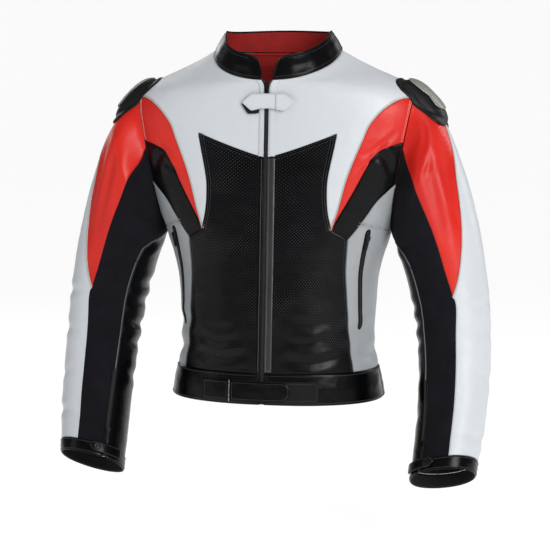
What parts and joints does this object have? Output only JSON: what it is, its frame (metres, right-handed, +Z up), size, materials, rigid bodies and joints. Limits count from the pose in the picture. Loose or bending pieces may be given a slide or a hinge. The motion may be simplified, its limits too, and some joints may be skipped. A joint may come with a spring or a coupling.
{
  "type": "motorcycle riding jacket",
  "caption": "Fitted two-piece-suit leather riding jacket in white, red, black and grey panels, with shoulder armour, front zip, neck tab, waist strap and zipped cuffs.",
  "frame": {"origin": "middle of the neck opening, level with the shoulders of the wearer, who holds the jacket up", "axes": "+X to the wearer's left, +Y to the wearer's back, +Z up"},
  "size_m": [0.743, 0.2712, 0.7664],
  "materials": {
    "white_leather": "smooth cowhide, satin",
    "black_leather": "smooth cowhide, semi-gloss",
    "perforated_leather": "punched cowhide, satin",
    "red_leather": "smooth cowhide, satin",
    "grey_leather": "smooth cowhide, satin",
    "stretch_fabric": "matt woven stretch panel",
    "red_lining": "matt knitted lining",
    "foam": "matt foam",
    "moulded_black": "satin moulded",
    "shell_grey": "semi-gloss moulded",
    "zip_metal": "black lacquered metal",
    "zip_coil": "woven tape with coil",
    "loop_fabric": "brushed loop"
  },
  "bodies": {
    "torso": {"back_black": "perforated_leather", "back_protector": "foam", "back_stretch": "stretch_fabric", "back_yoke": "white_leather", "chest_white_left": "white_leather", "chest_white_right": "white_leather", "collar": "black_leather", "collar_lining": "red_lining", "front_perforated_left": "perforated_leather", "front_perforated_right": "perforated_leather", "front_zip": "zip_metal", "neck_tab_base": "white_leather", "neck_tab_loop": "loop_fabric", "placket_left": "white_leather", "placket_right": "white_leather", "pocket_zip_left": "zip_coil", "pocket_zip_right": "zip_coil", "shoulder_red_left": "red_leather", "shoulder_red_right": "red_leather", "side_grey_left": "grey_leather", "side_grey_right": "grey_leather", "strap_base": "black_leather", "strap_loop": "loop_fabric", "torso_lining": "red_lining", "trouser_zip": "zip_coil", "underarm_perforated_left": "perforated_leather", "underarm_perforated_right": "perforated_leather", "waistband_back": "black_leather", "waistband_front_left": "black_leather", "waistband_front_right": "black_leather"},
    "upper_sleeve_left": {"armour_base_left": "moulded_black", "armour_shell_left": "shell_grey", "sleeve_red_left": "red_leather", "sleeve_stretch_upper_left": "stretch_fabric", "sleeve_white_upper_left": "white_leather"},
    "upper_sleeve_right": {"armour_base_right": "moulded_black", "armour_shell_right": "shell_grey", "sleeve_red_right": "red_leather", "sleeve_stretch_upper_right": "stretch_fabric", "sleeve_white_upper_right": "white_leather"},
    "forearm_left": {"cuff_band_left": "black_leather", "forearm_zip_left": "zip_coil", "sleeve_stretch_lower_left": "stretch_fabric", "sleeve_under_lower_left": "black_leather", "sleeve_white_lower_left": "white_leather"},
    "forearm_right": {"cuff_band_right": "black_leather", "forearm_zip_right": "zip_coil", "sleeve_stretch_lower_right": "stretch_fabric", "sleeve_under_lower_right": "black_leather", "sleeve_white_lower_right": "white_leather"},
    "cuff_tab_left": {"cuff_tab_left": "black_leather"},
    "cuff_tab_right": {"cuff_tab_right": "black_leather"},
    "forearm_slider_left": {"forearm_slider_left": "zip_metal"},
    "forearm_slider_right": {"forearm_slider_right": "zip_metal"},
    "front_pull": {"front_pull": "zip_metal"},
    "front_slider": {"front_slider": "zip_metal"},
    "neck_tab": {"neck_tab": "white_leather"},
    "pocket_slider_left": {"pocket_slider_left": "zip_metal"},
    "pocket_slider_right": {"pocket_slider_right": "zip_metal"},
    "waist_strap": {"waist_strap": "black_leather"}
  },
  "joints": [
    {"name": "shoulder_left", "type": "hinge", "parent": "torso", "child": "upper_sleeve_left", "pos_m": [0.204, 0, -0.018], "axis": [0, -1, 0], "range_deg": [0, 50]},
    {"name": "elbow_left", "type": "hinge", "parent": "upper_sleeve_left", "child": "forearm_left", "pos_m": [0.305, -0.083, -0.4], "axis": [-1, 0, 0], "range_deg": [0, 60]},
    {"name": "cuff_tab_open_left", "type": "hinge", "parent": "forearm_left", "child": "cuff_tab_left", "pos_m": [0.2486, -0.1265, -0.6665], "axis": [-0.0455, -0.4382, -0.8977], "range_deg": [0, 110]},
    {"name": "forearm_zip_left", "type": "slide", "parent": "forearm_left", "child": "forearm_slider_left", "axis": [-0.0084, 0.4059, 0.9139], "range_m": [0, 0.094]},
    {"name": "shoulder_right", "type": "hinge", "parent": "torso", "child": "upper_sleeve_right", "pos_m": [-0.204, 0, -0.018], "axis": [0, 1, 0], "range_deg": [0, 50]},
    {"name": "elbow_right", "type": "hinge", "parent": "upper_sleeve_right", "child": "forearm_right", "pos_m": [-0.305, -0.083, -0.4], "axis": [-1, 0, 0], "range_deg": [0, 60]},
    {"name": "cuff_tab_open_right", "type": "hinge", "parent": "forearm_right", "child": "cuff_tab_right", "pos_m": [-0.2486, -0.1265, -0.6665], "axis": [-0.0455, 0.4382, 0.8977], "range_deg": [0, 110]},
    {"name": "forearm_zip_right", "type": "slide", "parent": "forearm_right", "child": "forearm_slider_right", "axis": [0.0084, 0.4059, 0.9139], "range_m": [0, 0.094]},
    {"name": "pocket_zip_left", "type": "hinge", "parent": "torso", "child": "pocket_slider_left", "pos_m": [0.60465, -0.05059, -0.3925], "axis": [0.0228, -0.9977, -0.0643], "range_deg": [0, 17.7]},
    {"name": "pocket_zip_right", "type": "hinge", "parent": "torso", "child": "pocket_slider_right", "pos_m": [-0.60465, -0.05059, -0.3925], "axis": [0.0228, 0.9977, 0.0643], "range_deg": [0, 17.7]},
    {"name": "front_zip", "type": "slide", "parent": "torso", "child": "front_slider", "axis": [0, 0.0797, 0.9968], "range_m": [-0.42, 0]},
    {"name": "front_pull_swing", "type": "hinge", "parent": "front_slider", "child": "front_pull", "pos_m": [0, -0.09188, -0.0447], "axis": [1, 0, 0], "range_deg": [0, 80]},
    {"name": "neck_tab_open", "type": "hinge", "parent": "torso", "child": "neck_tab", "pos_m": [0.016, -0.09848, -0.0604], "axis": [0, 0.0797, 0.9968], "range_deg": [0, 140]},
    {"name": "waist_strap_open", "type": "hinge", "parent": "torso", "child": "waist_strap", "pos_m": [-0.053, -0.1321, -0.542], "axis": [0, -0.0797, -0.9968], "range_deg": [0, 140]}
  ]
}
